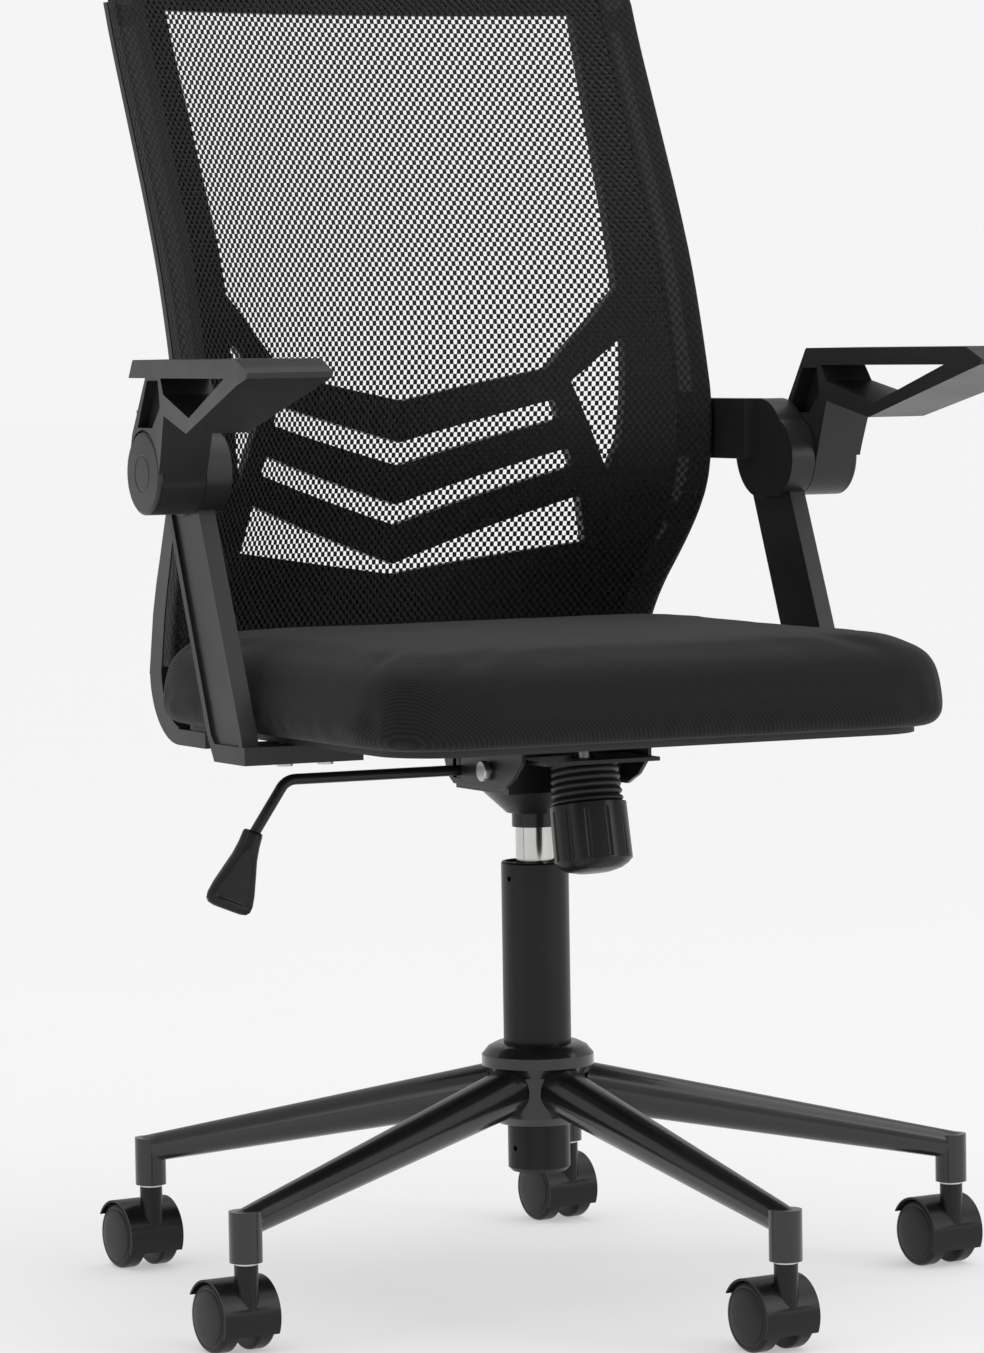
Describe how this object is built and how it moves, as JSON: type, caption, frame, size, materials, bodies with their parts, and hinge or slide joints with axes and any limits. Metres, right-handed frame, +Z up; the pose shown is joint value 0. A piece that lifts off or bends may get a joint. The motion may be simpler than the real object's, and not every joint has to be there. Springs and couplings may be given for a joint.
{
  "type": "swivel office chair",
  "caption": "Office chair with a five-star caster base, gas lift, rocking seat, mesh back with chevron lumbar ribs and flip-up armrests.",
  "frame": {"origin": "on the floor, under the swivel axis of the column", "axes": "+Z up along the column; the sitter faces -Y; +X is to the sitter's left"},
  "size_m": [0.6568, 0.6495, 1.005],
  "materials": {
    "frame_plastic": "fine satin texture",
    "cap_plastic": "satin",
    "base_paint": "gloss black powder coat",
    "tube_paint": "satin black",
    "bright_steel": "bright",
    "chrome_steel": "polished",
    "dark_steel": "satin black",
    "caster_plastic": "satin",
    "wheel_plastic": "satin",
    "knob_plastic": "satin",
    "bellows_rubber": "matt",
    "seat_fabric": "fine twill",
    "mesh_fabric": "open mesh",
    "board_plastic": "satin moulded"
  },
  "bodies": {
    "base": {"base_hub": "base_paint", "leg_1": "base_paint", "leg_2": "base_paint", "leg_3": "base_paint", "leg_4": "base_paint", "leg_5": "base_paint", "stand_tube": "tube_paint", "guide_bush": "cap_plastic", "thrust_bearing": "bright_steel"},
    "rod": {"piston_rod": "bright_steel", "rod_clip": "bright_steel"},
    "lift": {"gas_cylinder": "chrome_steel", "mechanism_housing": "dark_steel", "tilt_pin": "bright_steel", "tension_spring": "bright_steel", "spring_cover": "bellows_rubber"},
    "release": {"release_pin": "bright_steel"},
    "lever_pivot": {"lever_sleeve": "bright_steel"},
    "lever": {"lift_lever": "dark_steel", "lever_handle": "knob_plastic"},
    "seat": {"seat_plate": "dark_steel", "tension_bolt": "bright_steel", "seat_board": "board_plastic", "seat_cushion": "seat_fabric", "seat_bolts": "bright_steel", "back_frame": "frame_plastic", "back_mesh": "mesh_fabric", "arm_bracket_right": "frame_plastic", "arm_bracket_left": "frame_plastic", "arm_pivot_bolts": "bright_steel"},
    "knob": {"tension_knob": "knob_plastic"},
    "arm_right": {"armrest_right": "frame_plastic", "arm_cap_right": "cap_plastic"},
    "arm_left": {"armrest_left": "frame_plastic", "arm_cap_left": "cap_plastic"},
    "caster_1": {"caster_1_hood": "caster_plastic", "caster_1_stem": "bright_steel", "caster_1_axle": "bright_steel"},
    "caster_1_right": {"caster_1_wheel_right": "wheel_plastic"},
    "caster_1_left": {"caster_1_wheel_left": "wheel_plastic"},
    "caster_2": {"caster_2_hood": "caster_plastic", "caster_2_stem": "bright_steel", "caster_2_axle": "bright_steel"},
    "caster_2_right": {"caster_2_wheel_right": "wheel_plastic"},
    "caster_2_left": {"caster_2_wheel_left": "wheel_plastic"},
    "caster_3": {"caster_3_hood": "caster_plastic", "caster_3_stem": "bright_steel", "caster_3_axle": "bright_steel"},
    "caster_3_right": {"caster_3_wheel_right": "wheel_plastic"},
    "caster_3_left": {"caster_3_wheel_left": "wheel_plastic"},
    "caster_4": {"caster_4_hood": "caster_plastic", "caster_4_stem": "bright_steel", "caster_4_axle": "bright_steel"},
    "caster_4_right": {"caster_4_wheel_right": "wheel_plastic"},
    "caster_4_left": {"caster_4_wheel_left": "wheel_plastic"},
    "caster_5": {"caster_5_hood": "caster_plastic", "caster_5_stem": "bright_steel", "caster_5_axle": "bright_steel"},
    "caster_5_right": {"caster_5_wheel_right": "wheel_plastic"},
    "caster_5_left": {"caster_5_wheel_left": "wheel_plastic"}
  },
  "joints": [
    {"name": "swivel", "type": "hinge", "parent": "base", "child": "rod", "pos_m": [0, 0, 0.1], "axis": [0, 0, 1], "continuous": true},
    {"name": "height", "type": "slide", "parent": "rod", "child": "lift", "axis": [0, 0, 1], "range_m": [-0.02, 0.08]},
    {"name": "tilt", "type": "hinge", "parent": "lift", "child": "seat", "pos_m": [0, -0.032, 0.391], "axis": [-1, 0, 0], "range_deg": [0, 12], "stiffness_Nm_per_rad": 60, "springref_deg": -17.19, "deforming": ["tension_spring", "spring_cover"]},
    {"name": "lever_lift", "type": "hinge", "parent": "lift", "child": "lever_pivot", "pos_m": [-0.034, 0.02, 0.388], "axis": [0, 1, 0], "range_deg": [0, 4.5]},
    {"name": "lever_pull", "type": "slide", "parent": "lever_pivot", "child": "lever", "axis": [-1, 0, 0], "range_m": [0, 0.012]},
    {"name": "release_press", "type": "slide", "parent": "lift", "child": "release", "axis": [0, 0, -1], "range_m": [0, 0.0027]},
    {"name": "knob_turn", "type": "hinge", "parent": "seat", "child": "knob", "pos_m": [0, -0.08, 0.3985], "axis": [0, 0.1908, 0.9816], "continuous": true},
    {"name": "arm_right_flip", "type": "hinge", "parent": "seat", "child": "arm_right", "pos_m": [-0.272, 0.045, 0.612], "axis": [-1, 0, 0], "range_deg": [0, 90]},
    {"name": "arm_left_flip", "type": "hinge", "parent": "seat", "child": "arm_left", "pos_m": [0.272, 0.045, 0.612], "axis": [-1, 0, 0], "range_deg": [0, 90]},
    {"name": "caster_1_swivel", "type": "hinge", "parent": "base", "child": "caster_1", "pos_m": [0.02789, -0.31878, 0.06], "axis": [0, 0, 1], "continuous": true},
    {"name": "wheel_1_right", "type": "hinge", "parent": "caster_1", "child": "caster_1_right", "pos_m": [0.02601, -0.30088, 0.025], "axis": [0.9945, 0.1045, 0], "continuous": true},
    {"name": "wheel_1_left", "type": "hinge", "parent": "caster_1", "child": "caster_1_left", "pos_m": [0.02601, -0.30088, 0.025], "axis": [0.9945, 0.1045, 0], "continuous": true},
    {"name": "caster_2_swivel", "type": "hinge", "parent": "base", "child": "caster_2", "pos_m": [0.3118, -0.07198, 0.06], "axis": [0, 0, 1], "continuous": true},
    {"name": "wheel_2_right", "type": "hinge", "parent": "caster_2", "child": "caster_2_right", "pos_m": [0.30992, -0.05408, 0.025], "axis": [0.9945, 0.1045, 0], "continuous": true},
    {"name": "wheel_2_left", "type": "hinge", "parent": "caster_2", "child": "caster_2_left", "pos_m": [0.30992, -0.05408, 0.025], "axis": [0.9945, 0.1045, 0], "continuous": true},
    {"name": "caster_3_swivel", "type": "hinge", "parent": "base", "child": "caster_3", "pos_m": [0.16481, 0.27429, 0.06], "axis": [0, 0, 1], "continuous": true},
    {"name": "wheel_3_right", "type": "hinge", "parent": "caster_3", "child": "caster_3_right", "pos_m": [0.16293, 0.29219, 0.025], "axis": [0.9945, 0.1045, 0], "continuous": true},
    {"name": "wheel_3_left", "type": "hinge", "parent": "caster_3", "child": "caster_3_left", "pos_m": [0.16293, 0.29219, 0.025], "axis": [0.9945, 0.1045, 0], "continuous": true},
    {"name": "caster_4_swivel", "type": "hinge", "parent": "base", "child": "caster_4", "pos_m": [-0.20994, 0.24151, 0.06], "axis": [0, 0, 1], "continuous": true},
    {"name": "wheel_4_right", "type": "hinge", "parent": "caster_4", "child": "caster_4_right", "pos_m": [-0.21182, 0.25941, 0.025], "axis": [0.9945, 0.1045, 0], "continuous": true},
    {"name": "wheel_4_left", "type": "hinge", "parent": "caster_4", "child": "caster_4_left", "pos_m": [-0.21182, 0.25941, 0.025], "axis": [0.9945, 0.1045, 0], "continuous": true},
    {"name": "caster_5_swivel", "type": "hinge", "parent": "base", "child": "caster_5", "pos_m": [-0.29456, -0.12503, 0.06], "axis": [0, 0, 1], "continuous": true},
    {"name": "wheel_5_right", "type": "hinge", "parent": "caster_5", "child": "caster_5_right", "pos_m": [-0.29644, -0.10713, 0.025], "axis": [0.9945, 0.1045, 0], "continuous": true},
    {"name": "wheel_5_left", "type": "hinge", "parent": "caster_5", "child": "caster_5_left", "pos_m": [-0.29644, -0.10713, 0.025], "axis": [0.9945, 0.1045, 0], "continuous": true}
  ],
  "couplings": [
    {"joint": "release_press", "follows": "lever_lift", "m_per_rad": 0.034}
  ]
}
